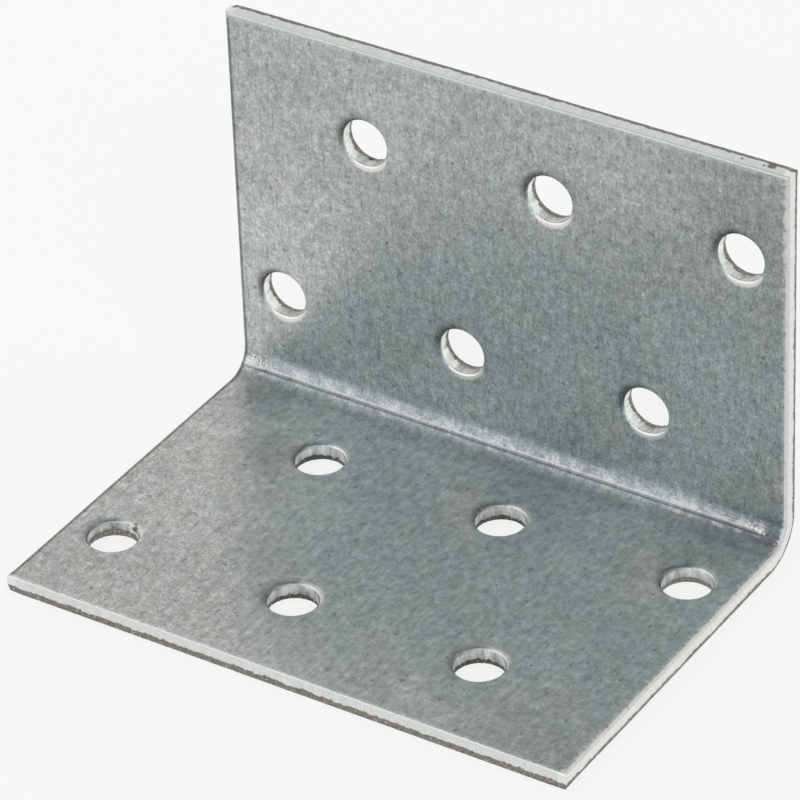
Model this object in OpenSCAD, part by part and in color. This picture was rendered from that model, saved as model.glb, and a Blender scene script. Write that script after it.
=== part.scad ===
// A steel angle bracket: one blanked and punched sheet with two equal leaves, folded once
// through a right angle. Millimetres. X runs along the fold, the lower leaf lies on z = 0
// and runs forward to -Y, the upright leaf stands at the back, at +Y.
// The origin is at mid width, at mid depth and on the underside.

/* [Sheet] */
// Width of the sheet, along the fold
sheet_w = 60; // [30:1:120]
// Height of the upright leaf, from the underside to its top edge
upright_h = 41.5; // [25:0.5:80]
// Depth of the lower leaf, from the back face to its front edge
base_d = 41.5; // [25:0.5:80]
// Thickness of the sheet
sheet_t = 1.8; // [1.2:0.1:3]

/* [Fold] */
// Radius on the inside of the fold
fold_r = 2.5; // [1:0.1:5]
// Depth of the line coined along the middle of the inside of the fold
crease_depth = 0.12; // [0.05:0.01:0.3]
// Width of that line at the surface
crease_w = 0.3; // [0.1:0.02:0.8]
// Gap between the coined line and the left end of the fold
crease_left_gap = 1.2; // [0:0.1:6]
// Gap between the coined line and the right end of the fold
crease_right_gap = 2.2; // [0:0.1:6]
// Length over which each end of the coined line runs out
crease_run_out = 1.4; // [0.2:0.1:4]

/* [Holes] */
// Diameter of each screw hole in its smooth part
hole_dia = 4.8; // [3:0.1:8]
// Number of holes in each row
holes_per_row = 3; // [2:1:8]
// Distance from a side edge to the nearest hole of the row that comes closest to it
side_margin = 5; // [4:0.5:15]
// Distance from the free edge of a leaf to its outer row
row_margin = 10; // [5:0.5:20]
// Distance from the outside of the other leaf to the row next to the fold
fold_row = 11.5; // [9:0.5:25]

/* [Sheared edges] */
// Radius that the shear rolled over at the front edge, on the inside face
front_roll_r = 0.16; // [0.06:0.02:0.6]
// Radius that the shear rolled over at the top edge, on the inside face
top_roll_r = 0.32; // [0.06:0.02:0.6]
// Depth of the smooth sheared band of the front and top edges, from the inside face
smooth_band = 1.05; // [0.8:0.05:1.1]
// How far the broken band of the front and top edges falls back at the outside face
break_back = 0.1; // [0.02:0.01:0.3]
// Radius that the slitting rolled over along both side edges, on the inside face
side_roll_r = 0.5; // [0.1:0.02:0.7]
// Depth of the smooth band of the side edges, from the inside face
side_smooth_band = 1.1; // [0.8:0.05:1.1]
// How far the broken band of the side edges falls back at the outside face
side_break_back = 0.2; // [0.02:0.01:0.3]
// Radius of the rolled edge round each hole, on the inside of the leaves
hole_roll_r = 0.3; // [0.1:0.02:0.6]
// Depth of the broken band in each hole, from the outside face
hole_broken_band = 0.42; // [0.3:0.02:0.6]
// How much wider each hole is in radius where it breaks out at the outside face
hole_break_out = 0.1; // [0.02:0.01:0.3]

/* [Hidden] */
$fn = 96;
half_w = sheet_w / 2;
back_y = base_d / 2;
front_y = -base_d / 2;
outer_r = fold_r + sheet_t;
fold_y = back_y - outer_r;
hole_r = hole_dia / 2;
hole_smooth = sheet_t - hole_broken_band;
// The rows of a leaf are staggered by half of their pitch, and together they fill the width
hole_pitch = (sheet_w - 2 * side_margin) / (holes_per_row - 0.5);
row_stagger = hole_pitch / 2;
row_half = (holes_per_row - 1) * hole_pitch / 2;
steel = [0.62, 0.65, 0.65];
// A rolled edge meets both of its faces at a small angle, as a sheared edge does
roll_share = 0.95;
over = 1;
// The broken band is drawn a little past the outside face, so that it cuts right through
past = 0.5;

// What the shear takes off an edge: u runs inward from the edge, v from the inside face outward
module edge_waste(roll, smooth, fall) {
    c = roll * roll_share;
    difference() {
        translate([-over, -over]) square([over + c, over + c]);
        translate([c, c]) circle(r = roll);
    }
    run = fall * (sheet_t + past - smooth) / (sheet_t - smooth);
    polygon([[-over, smooth], [0, smooth], [run, sheet_t + past], [-over, sheet_t + past]]);
}

// The sheet cut across, parallel to the fold: x runs along the fold, v from the inside face
module sheet_section() {
    difference() {
        translate([-half_w, 0]) square([sheet_w, sheet_t]);
        for (side = [0, 1]) mirror([side, 0]) translate([-half_w, 0])
            edge_waste(side_roll_r, side_smooth_band, side_break_back);
    }
}

module lower_leaf() {
    translate([0, fold_y, sheet_t]) rotate([90, 0, 0]) linear_extrude(fold_y - front_y)
        mirror([0, 1]) sheet_section();
}

module upright_leaf() {
    translate([0, back_y - sheet_t, outer_r]) linear_extrude(upright_h - outer_r)
        sheet_section();
}

module fold() {
    translate([0, fold_y, outer_r]) rotate([0, 90, 0]) rotate_extrude(angle = 90)
        translate([fold_r, 0]) mirror([1, -1]) sheet_section();
}

// Waste along the front edge of the lower leaf
module front_edge_waste() {
    translate([-half_w - over, front_y, sheet_t]) rotate([90, 0, 90])
        linear_extrude(sheet_w + 2 * over) mirror([0, 1])
            edge_waste(front_roll_r, smooth_band, break_back);
}

// Waste along the top edge of the upright leaf
module top_edge_waste() {
    translate([-half_w - over, back_y - sheet_t, upright_h]) rotate([90, 0, 90])
        linear_extrude(sheet_w + 2 * over) mirror([0, 1]) mirror([1, -1])
            edge_waste(top_roll_r, smooth_band, break_back);
}

// One punched hole: z = 0 is the inside face and the punch travels to +z
module punched_hole() {
    c = hole_roll_r * roll_share;
    run = hole_break_out * (hole_broken_band + past) / hole_broken_band;
    rotate_extrude() {
        translate([0, -over]) square([hole_r, over + sheet_t + past]);
        difference() {
            translate([0, -over]) square([hole_r + c, over + c]);
            translate([hole_r + c, c]) circle(r = hole_roll_r);
        }
        polygon([[0, hole_smooth], [hole_r, hole_smooth],
            [hole_r + run, sheet_t + past], [0, sheet_t + past]]);
    }
}

// A row of holes along x, its middle moved sideways by half of the stagger
module hole_row(side) {
    for (i = [0 : holes_per_row - 1])
        translate([i * hole_pitch - row_half + side * row_stagger / 2, 0, 0]) punched_hole();
}

module lower_leaf_holes() {
    translate([0, 0, sheet_t]) mirror([0, 0, 1]) {
        translate([0, front_y + row_margin, 0]) hole_row(-1);
        translate([0, back_y - fold_row, 0]) hole_row(1);
    }
}

module upright_leaf_holes() {
    translate([0, back_y - sheet_t, 0]) rotate([-90, 0, 0]) {
        translate([0, row_margin - upright_h, 0]) hole_row(1);
        translate([0, -fold_row, 0]) hole_row(-1);
    }
}

// The line coined along the inside of the fold, with ends that run out to the surface
module crease() {
    slope = crease_depth * 2;
    from = -half_w + crease_left_gap;
    to = half_w - crease_right_gap;
    translate([0, fold_y, outer_r]) rotate([45, 0, 0]) translate([0, 0, -fold_r])
        intersection() {
            translate([from, 0, 0]) rotate([90, 0, 90]) linear_extrude(to - from)
                polygon([[0, -crease_depth], [crease_w, crease_depth],
                    [-crease_w, crease_depth]]);
            translate([0, crease_w * 2, 0]) rotate([90, 0, 0]) linear_extrude(crease_w * 4)
                polygon([[from, 0.02], [from + crease_run_out, -slope],
                    [to - crease_run_out, -slope], [to, 0.02],
                    [to, crease_depth * 3], [from, crease_depth * 3]]);
        }
}

module angle_bracket() {
    color(steel) difference() {
        union() {
            lower_leaf();
            fold();
            upright_leaf();
        }
        front_edge_waste();
        top_edge_waste();
        lower_leaf_holes();
        upright_leaf_holes();
        crease();
    }
}

angle_bracket();
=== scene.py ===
"""A punched and folded steel angle bracket, dressed for a plain pale studio."""
import math

import bmesh
import bpy
from mathutils import Matrix, Vector, noise


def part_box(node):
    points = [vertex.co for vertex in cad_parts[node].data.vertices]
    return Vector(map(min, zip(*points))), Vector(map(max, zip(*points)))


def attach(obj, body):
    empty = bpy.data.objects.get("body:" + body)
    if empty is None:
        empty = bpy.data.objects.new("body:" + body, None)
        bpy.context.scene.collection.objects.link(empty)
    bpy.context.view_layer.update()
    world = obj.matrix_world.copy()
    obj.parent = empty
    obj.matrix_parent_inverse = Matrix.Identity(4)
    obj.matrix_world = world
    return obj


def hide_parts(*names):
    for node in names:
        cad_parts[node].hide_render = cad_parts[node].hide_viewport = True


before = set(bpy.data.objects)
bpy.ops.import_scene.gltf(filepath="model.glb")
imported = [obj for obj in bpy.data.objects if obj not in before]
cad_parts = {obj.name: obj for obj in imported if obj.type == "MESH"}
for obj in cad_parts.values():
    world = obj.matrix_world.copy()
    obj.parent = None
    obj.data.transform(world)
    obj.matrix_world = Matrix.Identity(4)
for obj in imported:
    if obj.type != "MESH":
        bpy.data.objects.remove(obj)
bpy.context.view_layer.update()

bl_info = {
    "name": "Punched angle bracket",
    "version": (1, 0, 0),
    "blender": (4, 5, 0),
    "location": "View3D > Sidebar > Bracket",
    "description": "Models a punched and folded steel angle bracket and a plain studio round it",
    "category": "Add Mesh",
}

NODE = "angle_bracket"
MM = 0.001
NODE_LOW, NODE_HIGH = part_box(NODE)

# Steps of the mesh: along one side of the square cut round a hole, and round a rolled edge
CELL_STEPS = 20
EDGE_STRIP_STEPS = 10
FOLD_STRIP_STEPS = 4
FOLD_SIDE_STEPS = 9
ROLL_STEPS = 5
# A rolled edge meets both of its faces at a small angle: this share of its radius is sunk
ROLL_SHARE = 0.95
# Points of a broken wall: share of the way out, and how much it wanders and how rough it is there
BROKEN_STEPS = (
    (0.06, 1.0, 0.5), (0.3, 0.7, 1.0), (0.55, 0.4, 1.0), (0.8, 0.2, 1.0), (1.0, 0.0, 0.6))
# How much the broken bands wander in the holes, as a share of how much they do on the outline
HOLE_WANDER = 0.6
# Rings of the mesh round a hole, as shares of the way from its rim to the side of its square
HOLE_RINGS = (0.72, 0.46, 0.26, 0.12, 0.04)
# The coined crease's lips: where they stand and how far they reach, as shares of half its width
LIP_PLACE = 1.4
LIP_REACH = 0.8
# Cross lines of the crease from its middle, in the same shares
CREASE_LINES = (0.0, 0.35, 0.7, 1.0, LIP_PLACE, LIP_PLACE + LIP_REACH)
# Distance from a corner over which the front and top edges turn into the side edges
CORNER_BLEND = 0.0015
# Faces that meet at more than this angle keep a crisp edge between them
CRISP_ANGLE = math.radians(17)
# Distance over which the marks round a hole's rim fade out
RIM_REACH = 0.0005

# Waves of the broken bands per millimetre: of where a band starts, and of its lumps
WANDER_SCALES = (0.55, 1.9)
LUMP_SCALES = (1.3, 3.1)
# Where the flake torn from the rim of the first hole lies, and its lip, as turns round the rim
FLAKE_TURN = math.radians(67)
LIP_TURN = math.radians(81)
FLAKE_SIZE = 0.0003
# Dark nicks: x, distance along the flat sheet, depth and radius in millimetres
NICKS = (
    (27.65, 79.74, 1.05, 0.42),
    (27.0, 79.74, 0.8, 0.14),
    (24.7, 79.74, 0.85, 0.13),
    (-15.2, 67.3, 1.45, 0.3),
    (-24.15, 12.3, 0.35, 0.32),
    (28.3, 40.1, 0.0, 0.2),
)
# Bright rubbed spots, given the same way
RUBBED = (
    (27.5, 40.2, 0.0, 0.25),
    (27.05, 40.35, 0.0, 0.2),
    (27.7, 40.5, 0.0, 0.12),
    (26.6, 40.45, 0.0, 0.14),
    (26.1, 40.4, 0.0, 0.11),
    (26.3, 40.7, 0.0, 0.1),
    (28.0, 40.05, 0.0, 0.12),
    (-24.65, 12.45, 0.3, 0.32),
)
# Soft pale patches on the lower leaf, given the same way
HAZE = (
    (-0.7, 30.3, 0.0, 1.7),
    (22.0, 26.5, 0.0, 1.6),
    (21.4, 24.0, 0.0, 1.5),
    (11.7, 3.6, 0.0, 1.6),
)
# Wide soft areas of painted shade and painted light on the zinc, standing in for darker and lighter
# reflections: x, distance along the flat sheet, radius and change of shade
PAINTED_SHADE_AND_LIGHT = (
    (27.0, 74.0, 20.0, -0.20),
    (14.7, 72.8, 8.0, 0.14),
    (21.0, 57.0, 12.0, 0.07),
    (27.2, 49.6, 7.0, 0.09),
    (-29.0, 53.0, 16.0, 0.16),
    (-29.0, 34.0, 14.0, 0.06),
    (-26.0, 36.0, 6.5, -0.26),
    (-20.5, 28.5, 5.5, -0.20),
    (-12.0, 14.0, 6.0, -0.08),
    (-24.0, 2.0, 16.0, -0.05),
    (-10.0, 7.0, 10.0, -0.05),
    (2.0, 0.0, 6.0, 0.12),
    (26.5, 3.0, 9.0, -0.12),
    (2.0, 35.0, 8.0, -0.10),
    (7.0, 35.0, 14.0, -0.10),
    (24.0, 36.0, 9.0, -0.16),
)

# Textures of the steel: how each is scaled along x, along the sheet and through it, its scale per
# millimetre, its detail and its roughness. A low share draws it out that way
TEXTURES = {
    "patches": ((1.0, 1.0, 1.0), 0.28, 4.0, 0.6),
    "grain": ((1.0, 0.75, 1.0), 4.2, 2.0, 0.6),
    "fine": ((1.0, 1.0, 1.0), 8.0, 2.0, 0.6),
    "mottle": ((1.0, 0.8, 1.0), 1.5, 2.0, 0.6),
    "blotch": ((1.0, 0.8, 1.0), 0.75, 2.0, 0.6),
    "strokes": ((1.0, 0.15, 1.0), 2.2, 2.0, 0.6),
    "cloud": ((1.0, 1.0, 1.0), 0.11, 2.0, 0.6),
    "dark strokes": ((1.0, 0.16, 1.0), 3.4, 2.0, 0.6),
    "specks": ((1.0, 1.0, 1.0), 4.4, 3.0, 0.75),
    "drawn specks": ((0.14, 1.0, 1.0), 4.4, 3.0, 0.75),
    "ragged": ((1.0, 1.0, 1.0), 1.5, 4.0, 0.7),
    "rub": ((1.0, 0.35, 1.0), 0.5, 3.0, 0.6),
    "broken line": ((1.0, 0.0, 0.0), 0.9, 3.0, 0.6),
    "wall streaks": ((1.0, 1.0, 0.2), 3.0, 3.0, 0.6),
    "wide streaks": ((1.0, 1.0, 0.3), 0.8, 2.0, 0.6),
    "tear": ((1.0, 1.0, 0.5), 1.8, 4.0, 0.7),
    "lumps": ((1.0, 1.0, 1.0), 3.4, 4.0, 0.7),
}
# How strongly each texture shades the zinc
GRAIN_STRENGTH = 1.35
ZINC_STRENGTHS = {"fine": 0.5, "mottle": 0.65, "blotch": 0.6, "strokes": 0.45, "cloud": 0.3}
# Bands along the crease, in millimetres above it: from, to and how softly each fades. The bright
# line above the crease is a painted highlight and the dark line in it a painted shade
STRAINED = (-1.4, 0.4, 1.8)
DULL_END = (-0.6, 2.0, 1.3)
SPECKLED_END = (-0.3, 1.6, 1.2)
CREASE_HIGHLIGHT = (0.10, 0.42, 0.09)
FLECKS = (-0.65, -0.3, 0.25)
CREASE_SHADE = (-0.10, -0.05, 0.05)
# Sides of the holes that carry painted highlights and painted shade, as directions along x and
# along the sheet
LOW_RIM_HIGHLIGHT = (0.25, -0.97)
REAR_RIM_HIGHLIGHT = (0.5, 0.86)
SHADED_BELOW = (0.4, -0.92)
PAINTED_LIGHT_LEFT = (-0.93, -0.37)
UPRIGHT_RIM_SHADE = (-0.8, 0.6)
BASE_RIM_SHADE = (-0.98, 0.2)


def length(name, description, default, **more):
    """A length property, in metres."""
    return bpy.props.FloatProperty(
        name=name, description=description, default=default, unit="LENGTH",
        subtype="DISTANCE", precision=5, **more)


def colour(name, description, default):
    """A linear colour property."""
    return bpy.props.FloatVectorProperty(
        name=name, description=description, default=default, subtype="COLOR",
        size=3, min=0.0, soft_max=1.0)


def share(name, description, default, top=1.0):
    """A plain number from 0 up."""
    return bpy.props.FloatProperty(
        name=name, description=description, default=default, min=0.0, max=top)


def angle(name, description, degrees):
    """An angle property."""
    return bpy.props.FloatProperty(
        name=name, description=description, default=math.radians(degrees),
        unit="ROTATION", subtype="ANGLE")


class SheetSizes(bpy.types.PropertyGroup):
    """The folded sheet."""
    width: length("Width", "Width of the sheet, along the fold", NODE_HIGH[0] - NODE_LOW[0])
    upright: length("Upright", "Height of the upright leaf", NODE_HIGH[2] - NODE_LOW[2])
    base: length("Base", "Depth of the lower leaf", NODE_HIGH[1] - NODE_LOW[1])
    thickness: length("Thickness", "Thickness of the sheet", 0.0018)
    fold_radius: length("Fold radius", "Radius on the inside of the fold", 0.0025)
    front_roll: length("Front roll", "Radius of the front edge's rolled edge", 0.00016)
    top_roll: length("Top roll", "Radius of the top edge's rolled edge", 0.00032)
    smooth: length("Smooth band", "Depth of the smooth band of the front and top", 0.00105)
    fall: length("Fall back", "How far the broken band of the front and top falls back", 0.0001)
    side_roll: length("Side roll", "Radius of the side edges' rolled edge", 0.0005)
    side_smooth: length("Side smooth band", "Depth of the side edges' smooth band", 0.0011)
    side_fall: length("Side fall back", "How far the sides' broken band falls back", 0.0002)
    wander: length("Wander", "How far the start of a broken band wanders", 0.00018)
    rough: length("Roughness", "Height of the lumps on a broken band", 0.00004)


class HoleSizes(bpy.types.PropertyGroup):
    """The punched holes."""
    diameter: length("Diameter", "Diameter of each hole in its smooth part", 0.0048)
    pitch: length("Pitch", "Distance between the holes of a row", 0.020)
    stagger: length("Stagger", "Sideways step between the rows of a leaf", 0.010)
    outer_row: length("Outer row", "From the free edge of a leaf to its outer row", 0.010)
    inner_row: length("Inner row", "From the outside of the other leaf to the inner row", 0.0115)
    count: bpy.props.IntProperty(
        name="Holes in a row", description="Number of holes in each row", default=3, min=2)
    roll: length("Rolled edge", "Radius of the rolled edge of each hole", 0.0003)
    broken: length("Broken band", "Depth of each hole's broken band", 0.00042)
    break_out: length("Break out", "How much wider in radius each hole breaks out", 0.0001)
    dish: length("Dish", "How deep the punch drew the face down at the rim", 0.00012)
    dish_reach: length("Dish reach", "Distance over which the dish fades out", 0.0004)


class CreaseSizes(bpy.types.PropertyGroup):
    """The line coined along the inside of the fold."""
    depth: length("Depth", "Depth of the line", 0.00012)
    width: length("Width", "Width of the line", 0.0003)
    lip: length("Lip", "Height of the lips pushed up beside the line", 0.000025)
    left_gap: length("Left gap", "Gap between the line and the left end", 0.0012)
    right_gap: length("Right gap", "Gap between the line and the right end", 0.0022)
    run_out: length("Run-out", "Length over which each end runs out", 0.0014)


class SteelFinish(bpy.types.PropertyGroup):
    """Colours and roughness of the galvanised steel."""
    zinc_cool: colour("Cool zinc", "Cooler patches of the zinc coat", (0.430, 0.459, 0.452))
    zinc_warm: colour("Warm zinc", "Warmer patches of the zinc coat", (0.452, 0.463, 0.448))
    zinc_worn: colour("Worn zinc", "Pale worn patches of the zinc coat", (0.62, 0.60, 0.58))
    sheared: colour("Sheared band", "Smooth band of the sheared edges", (0.74, 0.735, 0.715))
    punched: colour("Punched band", "Smooth band in the holes", (0.62, 0.655, 0.625))
    # Painted highlight on one side of the holes' rims
    rim_highlight: colour("Burnished rims", "Rubbed rims of the holes", (0.86, 0.79, 0.76))
    worn_edge: colour("Worn edge", "Rubbed rolled edges of the front and top",
                      (0.83, 0.757, 0.725))
    # Painted shade: the top edge's smooth band is the sheared band, darker and bluer
    shaded_top_band: colour("Top band", "Smooth band of the top edge", (0.65, 0.69, 0.71))
    broken: colour("Broken band", "Broken band of the outline", (0.275, 0.25, 0.215))
    # Painted shadow on the broken band inside the base's inner holes; also the colour of the dark
    # nicks
    shadowed_band_and_nicks: colour("Dark broken band", "Broken band inside the base's holes",
                     (0.12, 0.108, 0.095))
    # Also the colour of the painted shade in the crease
    pits_and_crease_shade: colour("Pits", "Small pits and stains", (0.15, 0.16, 0.16))
    scuff: colour("Scuffs", "Bright scuffs at the crease", (0.90, 0.815, 0.79))
    roughness: share("Roughness", "Roughness of the zinc coat", 0.31)
    fold_roughness: share("Fold roughness", "Roughness of the stretched zinc in the fold", 0.55)
    band_roughness: share("Band roughness", "Roughness of the smooth sheared band", 0.36)
    broken_roughness: share("Broken roughness", "Roughness of the broken band", 0.61)


class StudioSettings(bpy.types.PropertyGroup):
    """The floor, the light and the camera."""
    backdrop: colour("Backdrop", "Colour of the floor", (0.95, 0.95, 0.95))
    floor_shadow: share("Floor shadow", "How much of the shadow the floor shows", 0.15)
    front_light: colour("Front light", "Light of the room's front half", (1.16, 1.28, 1.34))
    back_light: colour("Back light", "Light of the room's back half", (0.935, 0.905, 0.89))
    overhead: share("Overhead", "How much darker the room is right overhead", 0.75)
    room_level: share("Room light", "Strength of the even light of the room", 1.0, 4.0)
    azimuth: angle("Azimuth", "Camera's turn to the right of the front", 33.5)
    elevation: angle("Elevation", "Camera's height above the horizon", 34.2)
    roll: angle("Roll", "Camera's turn about its own axis", 2.25)
    distance: length("Distance", "From the camera to the point it looks at", 0.506)
    lens: bpy.props.FloatProperty(
        name="Lens", description="Focal length in millimetres", default=252.0, unit="CAMERA")
    look_at: bpy.props.FloatVectorProperty(
        name="Look at", description="Point in the middle of the picture",
        default=(0.0008, -0.0005, 0.0196), subtype="XYZ", unit="LENGTH", size=3)


# The groups of settings, with the name that each has on a scene
GROUPS = {
    SheetSizes: "bracket_sheet",
    HoleSizes: "bracket_holes",
    CreaseSizes: "bracket_crease",
    SteelFinish: "bracket_steel",
    StudioSettings: "bracket_studio",
}


def spread(start, end, steps):
    """Evenly spaced places from start up to, and without, end."""
    return [start + (end - start) * i / steps for i in range(steps)]


def ease(value):
    """0 below 0, 1 above 1 and smooth between them."""
    value = max(0.0, min(1.0, value))
    return value * value * (3 - 2 * value)


class Blank:
    """Places on the flat sheet: x along the fold, y from the front edge of the lower leaf to the
    top edge of the upright, and depth from the inside face (0) to the outside face."""

    def __init__(self, scene):
        self.sheet = scene.bracket_sheet
        self.holes = scene.bracket_holes
        self.crease = scene.bracket_crease
        self.half_width = self.sheet.width / 2
        self.outer_radius = self.sheet.fold_radius + self.sheet.thickness
        self.base_run = self.sheet.base - self.outer_radius
        self.upright_run = self.sheet.upright - self.outer_radius
        self.fold_run = math.pi / 2 * (self.sheet.fold_radius + self.sheet.thickness / 2)
        self.height = self.base_run + self.fold_run + self.upright_run
        self.cell = self.holes.stagger
        self.centres = list(self.hole_centres())
        self.bore = self.wall_profile(
            self.holes.roll, self.sheet.thickness - self.holes.broken, self.holes.break_out)

    def hole_centres(self):
        """The middle of each hole. The upright's rows are the lower leaf's, turned half round."""
        rows = (
            (self.holes.outer_row, -1),
            (self.sheet.base - self.holes.inner_row, 1),
            (self.height - self.sheet.upright + self.holes.inner_row, -1),
            (self.height - self.holes.outer_row, 1),
        )
        first = -(self.holes.count - 1) * self.holes.pitch / 2
        for y, side in rows:
            for i in range(self.holes.count):
                yield Vector((first + i * self.holes.pitch + side * self.holes.stagger / 2, y, 0))

    def cross_lines(self):
        """Where the lines of the mesh cross the sheet, from the front edge to the top edge."""
        base = self.leaf_lines(self.sheet.base, self.base_run)
        upright = self.leaf_lines(self.sheet.upright, self.upright_run)
        fold = [self.base_run + self.fold_run * turn for turn in self.fold_turns()]
        return base + fold + [self.height - y for y in reversed(upright)]

    def leaf_lines(self, depth, run):
        """Cross lines of one leaf, from its free edge to where the fold starts."""
        half = self.cell / 2
        outer, inner = self.holes.outer_row, depth - self.holes.inner_row
        return (
            spread(0, outer - half, EDGE_STRIP_STEPS)
            + spread(outer - half, outer + half, CELL_STEPS)
            + spread(outer + half, inner - half, CELL_STEPS)
            + spread(inner - half, inner + half, CELL_STEPS)
            + spread(inner + half, run, FOLD_STRIP_STEPS)
        )

    def crease_half_turn(self):
        """Half the width of the crease, as a share of the fold."""
        return self.crease.width / 2 / (self.sheet.fold_radius * math.pi / 2)

    def fold_turns(self):
        """Cross lines of the fold as shares of its turn, closer together at the crease."""
        half = self.crease_half_turn()
        outward = [half * line for line in CREASE_LINES]
        low = spread(0, 0.5 - outward[-1], FOLD_SIDE_STEPS)
        middle = [0.5 - x for x in reversed(outward)] + [0.5 + x for x in outward[1:]]
        return low + middle + [1 - x for x in reversed(low)]

    def wall_profile(self, roll, smooth, fall):
        """A sheared wall in section, from the inside face outward. Each point has its step down
        the wall (1 where the roll ends, 2 where the smooth band ends, 3 at the outside face), its
        set-back from the cut, its depth, how much the depth wanders and how rough the point is."""
        thickness = self.sheet.thickness
        sunk = roll * ROLL_SHARE
        first, last = math.acos(ROLL_SHARE), math.asin(ROLL_SHARE)
        points = []
        for i in range(ROLL_STEPS + 1):
            turn = first + (last - first) * i / ROLL_STEPS
            points.append((i / ROLL_STEPS, sunk - roll * math.sin(turn),
                           sunk - roll * math.cos(turn), 0, 0))
        # Half way down the smooth band, then its end
        points += [(1.5, 0, (points[-1][2] + smooth) / 2, 0.2, 0), (2, 0, smooth, 1, 0)]
        return points + [
            (2 + s, fall * s, smooth + (thickness - smooth) * s, wander, rough)
            for s, wander, rough in BROKEN_STEPS
        ]

    def edge_cut(self, x, y):
        """Roll, smooth depth and fall of the outline's wall at a place: the front or top edge's,
        turned into the side edges' own near a corner."""
        sheet = self.sheet
        roll = sheet.front_roll if y < self.height / 2 else sheet.top_roll
        end = (roll, sheet.smooth, sheet.fall)
        side = (sheet.side_roll, sheet.side_smooth, sheet.side_fall)
        along_side = ease(min(y, self.height - y) / CORNER_BLEND)
        along_end = ease((self.half_width - abs(x)) / CORNER_BLEND)
        weight = (1 + along_side - along_end) / 2
        return [e + (s - e) * weight for e, s in zip(end, side)]

    def unevenness(self, place):
        """Two numbers round 0 for a place on a wall: how the band wanders and its lumps."""
        at = Vector(place) / MM
        wide, narrow = WANDER_SCALES
        wander = noise.noise(at * wide) + 0.6 * noise.noise(at * narrow + Vector((7, 3, 1)))
        wide, narrow = LUMP_SCALES
        lumps = noise.noise(at * wide + Vector((2, 9, 4))) + noise.noise(at * narrow)
        return wander, lumps

    def wall_point(self, point, place, wander_share=1.0):
        """The set-back and depth of a profile point at a place along the wall."""
        _, set_back, depth, wander_here, rough_here = point
        wander, lumps = self.unevenness(place)
        return (set_back + self.sheet.rough * rough_here * lumps,
                depth + self.sheet.wander * wander_share * wander_here * wander)

    def outline_place(self, co, index):
        """Moves a place on the outline to a point of its wall's profile."""
        # The outline's own points lie nearer to it than the mesh's next line does
        near = self.cell / CELL_STEPS * 0.9
        x = math.copysign(self.half_width, co.x) if abs(co.x) > self.half_width - near else co.x
        y = 0 if co.y < near else self.height if co.y > self.height - near else co.y
        point = self.wall_profile(*self.edge_cut(x, y))[index]
        set_back, depth = self.wall_point(point, (x, y, 0))
        limit = self.half_width - set_back
        return Vector((
            max(-limit, min(limit, x)),
            max(set_back, min(self.height - set_back, y)), -depth))

    def hole_place(self, co, centre, index):
        """Moves a place on a hole's edge to a point of its wall's profile."""
        out = Vector((co.x - centre.x, co.y - centre.y, 0)).normalized()
        radius = self.holes.diameter / 2
        set_back, depth = self.wall_point(
            self.bore[index], centre + out * radius, HOLE_WANDER)
        place = centre + out * (radius + set_back)
        place.z = -depth
        return place

    def dish(self, place):
        """How far the face is drawn down at a place, by the hole nearest to it."""
        gap = min((Vector((place.x, place.y, 0)) - c).length for c in self.centres)
        gap = max(gap - self.holes.diameter / 2, 0)
        still_face = max(0, 1 + 2 * place.z / self.sheet.thickness)
        return self.holes.dish * math.exp(-gap / self.holes.dish_reach) * still_face

    def rim_way(self, place):
        """The direction from the nearest hole's middle, longest at its rim and on its wall."""
        out = min((Vector((place.x, place.y, 0)) - c for c in self.centres),
                  key=lambda way: way.length)
        gap = max(out.length - self.holes.diameter / 2 - self.holes.roll, 0)
        return out.normalized() * math.exp(-gap / RIM_REACH)

    def rim_place(self, turn):
        """A place on the rim of the first hole, on the inside face."""
        out = Vector((math.cos(turn), math.sin(turn), 0))
        return self.centres[0] + out * (self.holes.diameter / 2 + self.holes.roll / 2)

    def flake(self, place):
        """How the torn flake moves a place: out and down in it, in and up on the lip beside it."""
        torn = math.exp(-((place - self.rim_place(FLAKE_TURN)).length / FLAKE_SIZE) ** 2)
        lip = math.exp(-((place - self.rim_place(LIP_TURN)).length / FLAKE_SIZE) ** 2)
        out = (place - self.centres[0]).normalized()
        out.z = 0
        up = Vector((0, 0, 1))
        return FLAKE_SIZE * ((0.7 * out - 0.6 * up) * torn + (0.35 * up - 0.5 * out) * lip)

    def crease_sink(self, x, turn):
        """How far the crease lowers the inside of the fold at x and at a share of the turn."""
        crease = self.crease
        across = abs(turn - 0.5) / self.crease_half_turn()
        ends = min(x + self.half_width - crease.left_gap, self.half_width - crease.right_gap - x)
        run_out = max(0, min(1, ends / crease.run_out))
        # Its depth varies slowly along the fold
        uneven = 1 + 0.35 * noise.noise(Vector((x / MM * 0.4, 5.1, 0)))
        groove = crease.depth * max(0, 1 - across)
        lip = crease.lip * max(0, 1 - abs(across - LIP_PLACE) / LIP_REACH)
        return (groove - lip) * run_out * uneven

    def folded(self, co):
        """Where a place of the flat sheet lies once the sheet is folded."""
        depth = -co.z
        front, back = -self.sheet.base / 2, self.sheet.base / 2
        if co.y <= self.base_run:
            return Vector((co.x, front + co.y, self.sheet.thickness - depth))
        if co.y >= self.base_run + self.fold_run:
            top = self.sheet.upright - (self.height - co.y)
            return Vector((co.x, back - self.sheet.thickness + depth, top))
        turn = (co.y - self.base_run) / self.fold_run * math.pi / 2
        radius = self.sheet.fold_radius + depth
        return Vector((co.x, back - self.outer_radius + radius * math.sin(turn),
                       self.outer_radius - radius * math.cos(turn)))


def boundary_loop(faces):
    """The edges round a patch of faces."""
    inside = set(faces)
    edges = {e for f in faces for e in f.edges}
    return [e for e in edges if sum(f in inside for f in e.link_faces) == 1]


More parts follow.
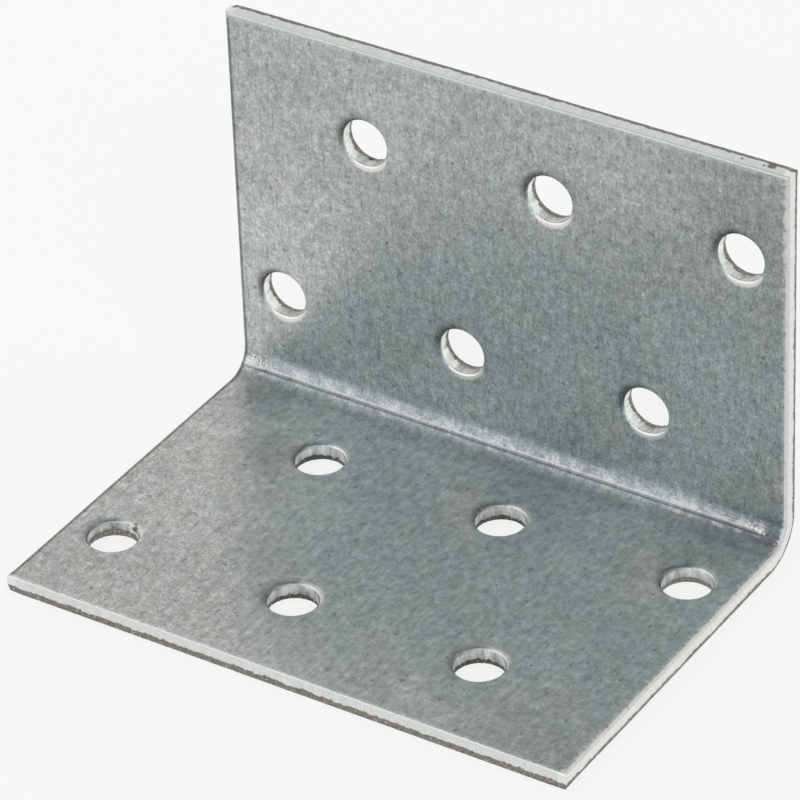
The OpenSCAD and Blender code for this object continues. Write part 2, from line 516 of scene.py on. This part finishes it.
def add_face_grid(bm, blank):
    """The inside face of the sheet, flat, with its cross lines in place."""
    columns = round(blank.sheet.width / blank.cell) * CELL_STEPS
    lines = blank.cross_lines()
    rows = len(lines) - 1
    bmesh.ops.create_grid(bm, x_segments=columns, y_segments=rows, size=0.5)
    for vert in bm.verts:
        i, j = round((vert.co.x + 0.5) * columns), round((vert.co.y + 0.5) * rows)
        vert.co = ((i / columns - 0.5) * blank.sheet.width, lines[j], 0)
        if vert.is_boundary:
            vert.co = blank.outline_place(vert.co, 0)


def cut_square(bm, blank, centre):
    """Takes out the square of faces round a hole and gives the edges left round it."""
    half = blank.cell / 2
    faces = [
        f for f in bm.faces
        if max(abs(f.calc_center_median().x - centre.x),
               abs(f.calc_center_median().y - centre.y)) < half
    ]
    edges = boundary_loop(faces)
    kept = {v for e in edges for v in e.verts}
    inner = {v for f in faces for v in f.verts} - kept
    bmesh.ops.delete(bm, geom=list(inner), context="VERTS")
    bmesh.ops.delete(bm, geom=[f for f in faces if f.is_valid], context="FACES_ONLY")
    return edges


def draw_in(bm, edges, place):
    """Extrudes a loop of edges and moves each new point to where place says. Gives the new loop."""
    made = bmesh.ops.extrude_edge_only(bm, edges=edges)["geom"]
    verts = {g for g in made if isinstance(g, bmesh.types.BMVert)}
    for vert in verts:
        vert.co = place(vert.co)
    return [g for g in made if isinstance(g, bmesh.types.BMEdge) and set(g.verts) <= verts]


def towards_ring(out):
    """The direction from a hole's middle for a place on the square round it, evenly spread."""
    if abs(out.x) >= abs(out.y):
        turn = math.pi / 4 * out.y / out.x + (math.pi if out.x < 0 else 0)
    else:
        turn = math.copysign(math.pi / 2, out.y) - math.pi / 4 * out.x / out.y
    return Vector((math.cos(turn), math.sin(turn), 0))


def add_hole_rings(bm, blank, centre, edges):
    """Rings of faces from the square round a hole to its rim. Gives the rim's edges."""
    rim = blank.holes.diameter / 2 + blank.bore[0][1]
    reach = blank.cell / 2 - rim
    first, *rest = [rim + reach * s for s in HOLE_RINGS] + [rim]
    edges = draw_in(bm, edges, lambda co: centre + towards_ring(co - centre) * first)
    for radius in rest:
        edges = draw_in(
            bm, edges, lambda co, radius=radius: centre + (co - centre).normalized() * radius)
    return edges


def add_wall(bm, edges, level, count, move):
    """A sheared wall, drawn down from a loop of edges through the points of its profile."""
    for index in range(1, count):
        edges = draw_in(bm, edges, lambda co, index=index: move(co, index))
        for vert in {v for e in edges for v in e.verts}:
            vert[level] = index


def punch_and_shear(bm, blank):
    """The whole flat blank: both faces, the holes and the sheared walls."""
    level = bm.verts.layers.int.new("level")
    count = len(blank.bore)
    add_face_grid(bm, blank)
    rims = []
    for centre in blank.centres:
        square = cut_square(bm, blank, centre)
        rims.append((centre, add_hole_rings(bm, blank, centre, square)))
    rim_verts = {v for _, edges in rims for e in edges for v in e.verts}
    border = [e for e in bm.edges if e.is_boundary and e.verts[0] not in rim_verts]

    # The outside face is a copy of the inside face, turned over
    copied = bmesh.ops.duplicate(bm, geom=bm.verts[:] + bm.edges[:] + bm.faces[:])
    twin = copied["vert_map"]
    outside = [g for g in copied["geom"] if isinstance(g, bmesh.types.BMFace)]
    bmesh.ops.reverse_faces(bm, faces=outside)
    for vert in {v for f in outside for v in f.verts}:
        vert.co.z = -blank.sheet.thickness
    for vert in {v for e in border for v in e.verts}:
        twin[vert].co = blank.outline_place(vert.co, count - 1)
        twin[vert][level] = count - 1
    for centre, edges in rims:
        for vert in {v for e in edges for v in e.verts}:
            twin[vert].co = blank.hole_place(vert.co, centre, count - 1)
            twin[vert][level] = count - 1

    add_wall(bm, border, level, count, blank.outline_place)
    for centre, edges in rims:
        def move(co, index, centre=centre):
            return blank.hole_place(co, centre, index)
        add_wall(bm, edges, level, count, move)
    bmesh.ops.remove_doubles(bm, verts=bm.verts[:], dist=blank.sheet.thickness * 1e-4)
    note_walls(bm, blank, level)
    bm.verts.layers.int.remove(level)


def note_walls(bm, blank, level):
    """Notes at each corner of a wall's faces how many steps down the wall it lies."""
    wall_step = bm.loops.layers.float.new("wall_step")
    for face in bm.faces:
        levels = [v[level] for v in face.verts]
        if max(levels) - min(levels) == 1:
            for loop in face.loops:
                loop[wall_step] = blank.bore[loop.vert[level]][0]


def fold_sheet(bm, blank):
    """Notes each point's place on the flat sheet, dishes the holes and folds the sheet."""
    flat = bm.verts.layers.float_vector.new("blank_place")
    rim = bm.verts.layers.float_vector.new("rim_way")
    for vert in bm.verts:
        vert[flat] = Vector((vert.co.x, vert.co.y, -vert.co.z)) / MM
        vert[rim] = blank.rim_way(vert.co)
        vert.co += blank.flake(vert.co)
        vert.co.z -= blank.dish(vert.co)
        turn = (vert.co.y - blank.base_run) / blank.fold_run
        inner_half = vert.co.z > -blank.sheet.thickness / 2
        if 0 < turn < 1 and inner_half:
            vert.co.z -= blank.crease_sink(vert.co.x, turn)
        vert.co = blank.folded(vert.co)


def mark_edges(bm):
    """Smooth shading, kept crisp where the faces meet at more than CRISP_ANGLE."""
    for face in bm.faces:
        face.smooth = True
    for edge in bm.edges:
        edge.smooth = edge.calc_face_angle(0) < CRISP_ANGLE


class Recipe:
    """The nodes of one material or of the room's light, added as they are needed."""

    def __init__(self, owner):
        owner.use_nodes = True
        self.tree = owner.node_tree
        self.tree.nodes.clear()

    def node(self, kind, inputs=None, **settings):
        """A node with its settings, and its inputs linked to sockets or set to values."""
        made = self.tree.nodes.new(kind)
        for key, value in settings.items():
            setattr(made, key, value)
        for key, value in (inputs or {}).items():
            if isinstance(value, bpy.types.NodeSocket):
                self.tree.links.new(value, made.inputs[key])
            else:
                made.inputs[key].default_value = value
        return made

    def math(self, operation, *values):
        """A Math node."""
        return self.node(
            "ShaderNodeMath", dict(enumerate(values)), operation=operation).outputs[0]

    def all_of(self, first, *rest):
        """The product of several masks."""
        for mask in rest:
            first = self.math("MULTIPLY", first, mask)
        return first

    def step(self, value, low, high):
        """0 below low, 1 above high and smooth between them. High may be the lower one."""
        return self.node(
            "ShaderNodeMapRange",
            {"Value": value, "From Min": low, "From Max": high, "To Min": 0.0, "To Max": 1.0},
            interpolation_type="SMOOTHSTEP").outputs["Result"]

    def between(self, value, low, high, soft):
        """1 from low to high, fading to 0 over soft on both sides."""
        return self.math(
            "MULTIPLY", self.step(value, low - soft, low), self.step(value, high + soft, high))

    def noise(self, vector, stretch, scale, detail, roughness):
        """A noise texture's value, about 0.5 on average, with the vector scaled per axis."""
        stretched = self.node("ShaderNodeMapping", {"Vector": vector, "Scale": stretch})
        return self.node(
            "ShaderNodeTexNoise",
            {"Vector": stretched.outputs[0], "Scale": scale, "Detail": detail,
             "Roughness": roughness}).outputs["Fac"]

    def mix(self, factor, first, second):
        """A mix of two colours."""
        made = self.node("ShaderNodeMix", data_type="RGBA")
        for index, value in ((0, factor), (6, first), (7, second)):
            if isinstance(value, bpy.types.NodeSocket):
                self.tree.links.new(value, made.inputs[index])
            elif index:
                made.inputs[index].default_value = (*value, 1.0)
            else:
                made.inputs[index].default_value = value
        return made.outputs[2]

    def scaled(self, tint, factor):
        """A colour times a number."""
        if not isinstance(tint, bpy.types.NodeSocket):
            tint = tuple(tint)
        return self.node(
            "ShaderNodeVectorMath", {0: tint, "Scale": factor}, operation="SCALE").outputs[0]


class SteelRecipe(Recipe):
    """The finish of the bracket's steel, worked out from each point's place on the flat sheet.
    Lengths are in millimetres here, and a mask is 1 where its mark is and 0 elsewhere."""

    def __init__(self, blank, finish):
        self.material = bpy.data.materials.new("galvanised_steel")
        super().__init__(self.material)
        self.finish = finish
        self.half_width = blank.half_width / MM
        self.height = blank.height / MM
        self.thickness = blank.sheet.thickness / MM
        self.fold_start = blank.base_run / MM
        self.fold_end = (blank.base_run + blank.fold_run) / MM
        self.place = self.node(
            "ShaderNodeAttribute", attribute_name="blank_place").outputs["Vector"]
        self.x, self.along, self.depth = self.node(
            "ShaderNodeSeparateXYZ", {0: self.place}).outputs
        self.wall = self.node("ShaderNodeAttribute", attribute_name="wall_step").outputs["Fac"]
        self.rim_way = self.node(
            "ShaderNodeAttribute", attribute_name="rim_way").outputs["Vector"]
        self.grain = self.texture("grain")
        self.specks = self.texture("specks")
        self.ragged = self.texture("ragged")
        self.from_left = self.math("ADD", self.x, self.half_width)
        self.from_right = self.math("SUBTRACT", self.half_width, self.x)
        self.from_side = self.math("MINIMUM", self.from_left, self.from_right)
        self.from_top = self.math("SUBTRACT", self.height, self.along)
        self.above_crease = self.math(
            "SUBTRACT", self.along, (self.fold_start + self.fold_end) / 2)
        self.inside_face = self.step(self.depth, 0.4, 0.2)
        self.in_upright = self.step(self.above_crease, 0.13, 2.13)
        self.in_base = self.math("SUBTRACT", 1.0, self.in_upright)
        # The walls that lie away from the outline are the holes'
        self.in_hole = self.all_of(
            *(self.step(gap, 1.2, 1.6) for gap in (self.from_side, self.along, self.from_top)))
        self.base_hole = self.math(
            "MULTIPLY", self.in_hole, self.step(self.above_crease, 0.13, -1.87))
        self.top_edge = self.all_of(
            self.step(self.from_top, 1.6, 0.8), self.step(self.from_side, 0.3, 0.8))

    def texture(self, name):
        """One of the steel's textures, about 0.5 on average."""
        return self.noise(self.place, *TEXTURES[name])

    def varied(self, level, texture, strength):
        """A level made lower and higher by a texture."""
        return self.math(
            "MULTIPLY_ADD", self.math("SUBTRACT", texture, 0.5), strength, level)

    def shaded(self, tint, mask, change):
        """A colour made darker or lighter by a change where the mask is 1."""
        return self.scaled(tint, self.math("MULTIPLY_ADD", mask, change, 1.0))

    def covered(self, tint, mask, strength, cover):
        """A colour covered by another one where the mask is 1."""
        return self.mix(self.math("MULTIPLY", mask, strength), tint, cover)

    def gap_to(self, centre):
        """The distance from a place on the flat sheet: x, distance along and depth."""
        return self.node(
            "ShaderNodeVectorMath", {0: self.place, 1: centre},
            operation="DISTANCE").outputs["Value"]

    def spots(self, places, soft=0.4):
        """1 in each of the places (x, distance along, depth, radius), with a ragged rim."""
        total = 0.0
        for *centre, radius in places:
            ragged = 3 * min(radius, 0.5)
            gap = self.math("MULTIPLY_ADD", self.specks, ragged, self.gap_to(centre))
            # The specks are 0.5 on average, so they move the rim out by half of their strength
            rim = radius + ragged / 2
            blur = radius * soft / 2
            total = self.math("MAXIMUM", total, self.step(gap, rim + blur, rim - blur))
        return total

    def zinc(self):
        """Zinc coat: fine grain, faint strokes along the rolling direction, soft patches and wide
        areas of painted shade and painted light.
        """
        finish = self.finish
        coat = self.mix(
            self.step(self.texture("patches"), 0.36, 0.64), finish.zinc_cool, finish.zinc_warm)
        coat = self.covered(coat, self.spots(HAZE, 1.6), 0.35, finish.zinc_worn)
        # The grain is fainter over the rear and the right of the lower leaf
        calm = self.all_of(
            self.step(self.math("MULTIPLY_ADD", self.along, 0.66, self.x), -6.0, -2.0),
            self.step(self.along, self.fold_end, self.fold_start))
        grain = self.math("SUBTRACT", self.grain, 0.5)
        grain = self.math("MULTIPLY", grain, self.math("MULTIPLY_ADD", calm, -0.55, 1.0))
        coat = self.shaded(coat, grain, GRAIN_STRENGTH)
        for name, strength in ZINC_STRENGTHS.items():
            coat = self.scaled(coat, self.varied(1.0, self.texture(name), strength))
        # Painted shade and painted light: wide soft areas made darker or lighter
        for x, along, radius, change in PAINTED_SHADE_AND_LIGHT:
            gap = self.gap_to((x, along, 0.0))
            coat = self.shaded(coat, self.step(gap, radius, 0.0), change)
        return coat

    def pits(self):
        """Sparse small dark pits and short dark strokes."""
        cells = self.node(
            "ShaderNodeTexVoronoi", {"Vector": self.place, "Scale": 0.25},
            voronoi_dimensions="2D")
        ragged = self.math("MULTIPLY_ADD", self.grain, 0.12, cells.outputs["Distance"])
        chance = self.node("ShaderNodeSeparateColor", {0: cells.outputs["Color"]}).outputs[0]
        pits = self.all_of(self.step(ragged, 0.13, 0.08), self.step(chance, 0.28, 0.5))
        strokes = self.step(self.texture("dark strokes"), 0.60, 0.74)
        return self.math("MULTIPLY", self.math("MAXIMUM", pits, strokes), 0.55)

    def strained_fold(self, coat):
        """The fold's darker stretched zinc, darker partly from the stretching and partly as painted
        shade along the crease, its dull right end and its speckled left end, darker on average as
        painted shade. Gives the coat and how strained it is."""
        above = self.above_crease
        strain = self.all_of(
            self.between(above, *STRAINED), self.step(self.from_left, -1.5, 3.5),
            self.inside_face)
        # Darker along the crease: partly the stretched zinc, partly painted shade
        coat = self.shaded(coat, strain, -0.14)
        dull = self.all_of(
            self.step(self.from_right, 13.0, 4.0), self.between(above, *DULL_END),
            self.inside_face)
        # The last few millimetres of the right end are the darkest
        change = self.math("MULTIPLY_ADD", self.step(self.from_right, 4.0, 1.5), -0.24, -0.34)
        coat = self.shaded(coat, dull, change)
        speckled = self.all_of(
            self.step(self.from_left, 4.5, 1.5), self.between(above, *SPECKLED_END),
            self.inside_face)
        # Speckles, darker on average as painted shade over the reflection there
        coat = self.shaded(coat, speckled, self.math("MULTIPLY_ADD", self.specks, 2.6, -1.5))
        return coat, strain

    def scuffed_fold(self, coat):
        """The marks of the tool along the fold: scuffs, the crease as painted shade and the bright
        line by it as painted highlight.
        """
        above = self.above_crease
        right = self.step(self.from_right, 20.0, 6.0)
        ends = self.math("ADD", self.step(self.from_left, 10.0, 3.0), right)
        # The specks are drawn out sideways towards the right
        drawn = self.math("SUBTRACT", self.texture("drawn specks"), self.specks)
        specks = self.math(
            "MULTIPLY_ADD", drawn, self.math("MULTIPLY", right, 0.75), self.specks)
        near = self.step(above, 2.8, 0.1)
        for part, strength in ((self.texture("rub"), 0.8), (near, 0.30), (ends, 0.05)):
            specks = self.math("MULTIPLY_ADD", part, strength, specks)
        scuffs = self.all_of(
            self.step(specks, 1.10, 1.28), self.step(above, 0.0, 0.2),
            self.step(self.from_right, 1.4, 2.6), self.inside_face)
        reach = self.math(
            "MULTIPLY", self.step(self.from_left, 1.0, 1.8), self.step(self.from_right, 1.8, 2.6))
        # Painted highlight: a bright line just above the crease
        line = self.all_of(
            self.between(above, *CREASE_HIGHLIGHT), self.step(self.texture("broken line"), 0.30, 0.55),
            reach, self.inside_face)
        flecks = self.all_of(self.between(above, *FLECKS), self.step(specks, 1.22, 1.36))
        marks = (
            (scuffs, self.math("MULTIPLY_ADD", right, -0.06, 0.54)),
            (line, 0.5),
            (flecks, 0.4),
            (self.spots(RUBBED), 0.85),
        )
        bright = 0.0
        for mask, strength in marks:
            bright = self.math("MAXIMUM", bright, self.math("MULTIPLY", mask, strength))
        coat = self.mix(bright, coat, self.finish.scuff)
        # Painted shade: a dark line in the crease
        groove = self.all_of(self.between(above, *CREASE_SHADE), reach, self.inside_face)
        return self.covered(coat, groove, 0.35, self.finish.pits_and_crease_shade)

    def rubbed_edge(self, gap, reach):
        """1 next to an edge of the sheet, out to a ragged limit about as far in as reach."""
        limit = self.math("MULTIPLY_ADD", self.ragged, -2.2, 1.1 + reach)
        share = self.math("SUBTRACT", limit, gap)
        return self.math("MULTIPLY", self.step(share, -0.14, 0.14), self.inside_face)

    def side_share(self, side):
        """How far a place lies to one side of a hole: 1 at the rim and the wall right there."""
        return self.node(
            "ShaderNodeVectorMath", {0: self.rim_way, 1: (*side, 0.0)},
            operation="DOT_PRODUCT").outputs["Value"]

    def rim(self, side, low=0.15, high=0.95, ragged=0.0):
        """1 at the holes' rims on one side, on the inside face."""
        still_face = self.math("MULTIPLY_ADD", self.depth, -2 / self.thickness, 1.0)
        share = self.math(
            "MULTIPLY", self.side_share(side), self.math("MAXIMUM", still_face, 0.0))
        return self.step(self.varied(share, self.specks, ragged), low, high)

    def wear_and_painted_light(self, coat):
        """Pale places: painted highlights on the lower rims in the upright, the rear rims in the
        base and the right edge, and the rubbed front and top edges, the top one's wear darker as
        painted shade.
        """
        finish = self.finish
        low = self.math("MULTIPLY", self.rim(LOW_RIM_HIGHLIGHT, 0.5, 0.75, 0.7), self.in_upright)
        rear = self.math("MULTIPLY", self.rim(REAR_RIM_HIGHLIGHT, 0.55, 0.8, 0.8), self.in_base)
        right_gap = self.math("ADD", self.from_side, self.step(self.x, 1.0, 0.0))
        worn = self.mix(self.step(self.wall, 0.1, 0.5), finish.sheared, finish.worn_edge)
        # The rims' pale marks and the right edge's are painted highlights; the top edge's wear is
        # darkened as painted shade
        places = (
            (low, 0.85, finish.rim_highlight),
            (rear, 0.45, finish.rim_highlight),
            (self.rubbed_edge(self.along, 0.2), 0.7, worn),
            (self.rubbed_edge(right_gap, 0.5), 0.7, self.scaled(finish.sheared, 1.05)),
            (self.rubbed_edge(self.from_top, 0.42), 0.85, self.scaled(worn, 0.75)),
        )
        for mask, strength, pale in places:
            coat = self.covered(coat, mask, strength, pale)
        return coat

    def smooth_band(self):
        """The smooth bright band of the sheared walls, with painted shade and painted light in the
        holes and on the sides.
        """
        finish = self.finish
        streaks = self.texture("wall streaks")
        # Painted light: the side edges' band is a little lighter
        side = self.step(self.from_side, 1.0, 0.6)
        level = self.math("MULTIPLY_ADD", side, 0.14, self.varied(1.0, streaks, 0.4))
        # Inside the holes the streaks are stronger, and the band is brightest next to the roll: it
        # is darker further down the wall and in the base's holes, as painted shade
        hole_level = self.varied(0.6, streaks, 0.7)
        hole_level = self.varied(hole_level, self.texture("wide streaks"), 1.2)
        # Painted shade on the lower side and painted light on the left side of the upright's holes
        below = self.step(self.side_share(SHADED_BELOW), 0.3, 0.95)
        left = self.step(self.side_share(PAINTED_LIGHT_LEFT), 0.5, 0.95)
        changes = (
            (self.wall, -0.38),
            (self.base_hole, -0.26),
            (self.math("MULTIPLY", below, self.in_upright), -0.30),
            (self.math("MULTIPLY", left, self.in_upright), 0.30),
        )
        for mask, change in changes:
            hole_level = self.math("MULTIPLY_ADD", mask, change, hole_level)
        level = self.math("MULTIPLY_ADD", self.in_hole, hole_level, level)
        tint = self.mix(self.in_hole, finish.sheared, finish.punched)
        # The top edge's band is a darker, bluer copy of the sheared band, as painted shade
        return self.scaled(self.mix(self.top_edge, tint, finish.shaded_top_band), level)

    def broken_band(self):
        """The dark broken band, much darker in the base's inner holes as painted shadow. Gives its
        colour and its lumps.
        """
        finish = self.finish
        # Painted shadow: the broken band in the base's inner holes, which face down
        shadowed_hole = self.math("MULTIPLY", self.base_hole, self.step(self.from_side, 10.0, 11.0))
        dark = self.mix(shadowed_hole, finish.broken, finish.shadowed_band_and_nicks)
        lumps = self.texture("lumps")
        dark = self.scaled(dark, self.math("MULTIPLY_ADD", lumps, 2.2, -0.1))
        return self.covered(dark, self.step(lumps, 0.58, 0.68), 0.75, finish.sheared), lumps

    def broken_share(self):
        """1 where a wall is broken. The base's holes are torn deeper, the first one most."""
        torn = self.math("MULTIPLY_ADD", self.texture("tear"), 0.9, self.wall)
        upright_hole = self.math("MULTIPLY", self.in_upright, self.in_hole)
        first_hole = self.math("MULTIPLY", self.base_hole, self.step(self.from_left, 11.0, 9.0))
        changes = (
            (self.top_edge, -0.3),
            (upright_hole, 0.15),
            (self.base_hole, 0.14),
            (first_hole, 0.2),
        )
        for mask, change in changes:
            torn = self.math("MULTIPLY_ADD", mask, change, torn)
        return self.step(torn, 2.40, 2.50)

    def painted_rim_shade(self):
        """1 on the ring of painted shade on one side of the holes' rims, stronger in the upright.
        """
        upright = self.math("MULTIPLY", self.rim(UPRIGHT_RIM_SHADE), self.in_upright)
        base = self.math("MULTIPLY", self.rim(BASE_RIM_SHADE), self.in_base)
        both = self.math("MULTIPLY_ADD", base, 0.7, upright)
        return self.math("MULTIPLY", both, self.step(self.wall, 1.2, 1.0))

    def steel(self):
        """The finished material."""
        finish = self.finish
        coat, strain = self.strained_fold(self.zinc())
        coat = self.scuffed_fold(coat)
        marks = self.pits()
        coat = self.mix(marks, coat, finish.pits_and_crease_shade)
        # Painted shade: a dark line along the rolled left edge of the sheet
        left_edge_shade = self.math(
            "MULTIPLY", self.step(self.from_left, 0.65, 0.4), self.step(self.depth, 1.3, 1.1))
        coat = self.wear_and_painted_light(self.shaded(coat, left_edge_shade, -0.55))

        broken = self.broken_share()
        dark, lumps = self.broken_band()
        wall = self.mix(broken, self.smooth_band(), dark)
        sheared = self.step(self.math("MULTIPLY_ADD", self.grain, 0.5, self.wall), 0.85, 1.20)
        # Painted shade beside one side of each hole's rim
        tint = self.shaded(self.mix(sheared, coat, wall), self.painted_rim_shade(), -0.6)
        tint = self.covered(tint, self.spots(NICKS), 0.92, finish.shadowed_band_and_nicks)

        rough_zinc = self.varied(finish.roughness, self.grain, 0.16)
        rough_zinc = self.math(
            "MULTIPLY_ADD", strain, finish.fold_roughness - finish.roughness, rough_zinc)
        rough_wall = self.math(
            "MULTIPLY_ADD", broken, finish.broken_roughness - finish.band_roughness,
            finish.band_roughness)
        difference = self.math("SUBTRACT", rough_wall, rough_zinc)
        roughness = self.math("MULTIPLY_ADD", difference, sheared, rough_zinc)

        height = self.math("MULTIPLY_ADD", self.all_of(lumps, broken, sheared), 5.0, self.grain)
        height = self.math("MULTIPLY_ADD", marks, -0.8, height)
        bump = self.node(
            "ShaderNodeBump", {"Height": height, "Strength": 0.5, "Distance": 0.00001})
        shader = self.node(
            "ShaderNodeBsdfPrincipled",
            {"Base Color": tint, "Roughness": roughness, "Metallic": 1.0,
             "Normal": bump.outputs["Normal"]})
        self.node("ShaderNodeOutputMaterial", {"Surface": shader.outputs[0]})
        return self.material


def studio_floor(studio):
    """Plain pale floor that is seen as the backdrop and keeps a faint shadow."""
    material = bpy.data.materials.new("pale_floor")
    recipe = Recipe(material)
    backdrop = (*studio.backdrop, 1.0)
    lit = recipe.node("ShaderNodeBsdfDiffuse", {"Color": backdrop})
    plain = recipe.node("ShaderNodeEmission", {"Color": backdrop, "Strength": 1.0})
    path = recipe.node("ShaderNodeLightPath").outputs
    seen = recipe.math("MAXIMUM", path["Is Camera Ray"], path["Is Glossy Ray"])
    seen = recipe.math("MAXIMUM", seen, path["Is Transmission Ray"])
    plain_share = recipe.math("MULTIPLY", seen, 1 - studio.floor_shadow)
    surface = recipe.node(
        "ShaderNodeMixShader", {0: plain_share, 1: lit.outputs[0], 2: plain.outputs[0]})
    recipe.node("ShaderNodeOutputMaterial", {"Surface": surface.outputs[0]})
    return material


class BRACKET_OT_sheet(bpy.types.Operator):
    """Punches, folds and dresses the steel sheet"""
    bl_idname = "bracket.sheet"
    bl_label = "Make the folded sheet"

    def execute(self, context):
        blank = Blank(context.scene)
        bm = bmesh.new()
        punch_and_shear(bm, blank)
        fold_sheet(bm, blank)
        open_edges = sum(not e.is_manifold for e in bm.edges)
        if open_edges:
            raise RuntimeError(f"the sheet is open along {open_edges} edges")
        mark_edges(bm)
        mesh = bpy.data.meshes.new("bracket_sheet")
        bm.to_mesh(mesh)
        bm.free()
        piece = bpy.data.objects.new("bracket_sheet", mesh)
        context.collection.objects.link(piece)
        mesh.materials.append(SteelRecipe(blank, context.scene.bracket_steel).steel())
        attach(piece, "root")
        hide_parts(NODE)
        return {"FINISHED"}


class BRACKET_OT_studio(bpy.types.Operator):
    """Lays the floor, lights the room and places the camera"""
    bl_idname = "bracket.studio"
    bl_label = "Make the studio"

    def execute(self, context):
        studio = context.scene.bracket_studio
        add_floor(context, studio)
        light_room(context, studio)
        add_camera(context, studio)
        context.scene.view_settings.view_transform = "Standard"
        return {"FINISHED"}


def add_floor(context, studio):
    """A wide flat floor just under the sheet."""
    bm = bmesh.new()
    bmesh.ops.create_grid(bm, x_segments=1, y_segments=1, size=3.0)
    bmesh.ops.translate(bm, verts=bm.verts, vec=(0, 0, -0.05 * MM))
    mesh = bpy.data.meshes.new("floor")
    bm.to_mesh(mesh)
    bm.free()
    mesh.materials.append(studio_floor(studio))
    floor = bpy.data.objects.new("floor", mesh)
    context.collection.objects.link(floor)


def light_room(context, studio):
    """Even light from all round, as in a white tent, cooler from the front and dimmer above."""
    world = bpy.data.worlds.new("room")
    recipe = Recipe(world)
    heading = recipe.node("ShaderNodeTexCoord").outputs["Generated"]
    _, backward, upward = recipe.node("ShaderNodeSeparateXYZ", {0: heading}).outputs
    light = recipe.mix(
        recipe.step(backward, -0.6, 0.6), studio.front_light, studio.back_light)
    # The light dims from 53 degrees above the horizon up to 76 degrees
    overhead = recipe.step(upward, 0.80, 0.97)
    light = recipe.scaled(light, recipe.math("MULTIPLY_ADD", overhead, -studio.overhead, 1.0))
    seen = recipe.node("ShaderNodeLightPath").outputs["Is Camera Ray"]
    sky = recipe.node(
        "ShaderNodeBackground",
        {"Color": recipe.mix(seen, light, studio.backdrop), "Strength": studio.room_level})
    recipe.node("ShaderNodeOutputWorld", {"Surface": sky.outputs[0]})
    context.scene.world = world


def add_camera(context, studio):
    """The camera, turned round the point that it looks at."""
    data = bpy.data.cameras.new("camera")
    data.sensor_width = 36.0
    data.lens = studio.lens
    data.clip_start = 0.01
    camera = bpy.data.objects.new("camera", data)
    turn = (
        Matrix.Rotation(studio.azimuth, 4, "Z")
        @ Matrix.Rotation(math.pi / 2 - studio.elevation, 4, "X")
        @ Matrix.Rotation(-studio.roll, 4, "Z")
    )
    back = Matrix.Translation((0, 0, studio.distance))
    camera.matrix_world = Matrix.Translation(studio.look_at) @ turn @ back
    context.collection.objects.link(camera)
    context.scene.camera = camera


class BRACKET_PT_panel(bpy.types.Panel):
    """Sizes, finish and studio of the bracket"""
    bl_idname = "BRACKET_PT_panel"
    bl_label = "Angle bracket"
    bl_space_type = "VIEW_3D"
    bl_region_type = "UI"
    bl_category = "Bracket"

    def draw(self, context):
        for group, group_name in GROUPS.items():
            box = self.layout.box()
            box.label(text=group.__doc__)
            settings = getattr(context.scene, group_name)
            for name in group.__annotations__:
                box.prop(settings, name)
        self.layout.operator(BRACKET_OT_sheet.bl_idname)
        self.layout.operator(BRACKET_OT_studio.bl_idname)


CLASSES = (*GROUPS, BRACKET_OT_sheet, BRACKET_OT_studio, BRACKET_PT_panel)


def register():
    """Adds the classes, and their settings to every scene."""
    for cls in CLASSES:
        bpy.utils.register_class(cls)
    for group, name in GROUPS.items():
        setattr(bpy.types.Scene, name, bpy.props.PointerProperty(type=group))


def unregister():
    """Takes the settings and the classes out again."""
    for name in GROUPS.values():
        delattr(bpy.types.Scene, name)
    for cls in reversed(CLASSES):
        bpy.utils.unregister_class(cls)


def main():
    """Makes the bracket and its studio."""
    register()
    bpy.ops.bracket.sheet()
    bpy.ops.bracket.studio()


if __name__ == "__main__":
    main()
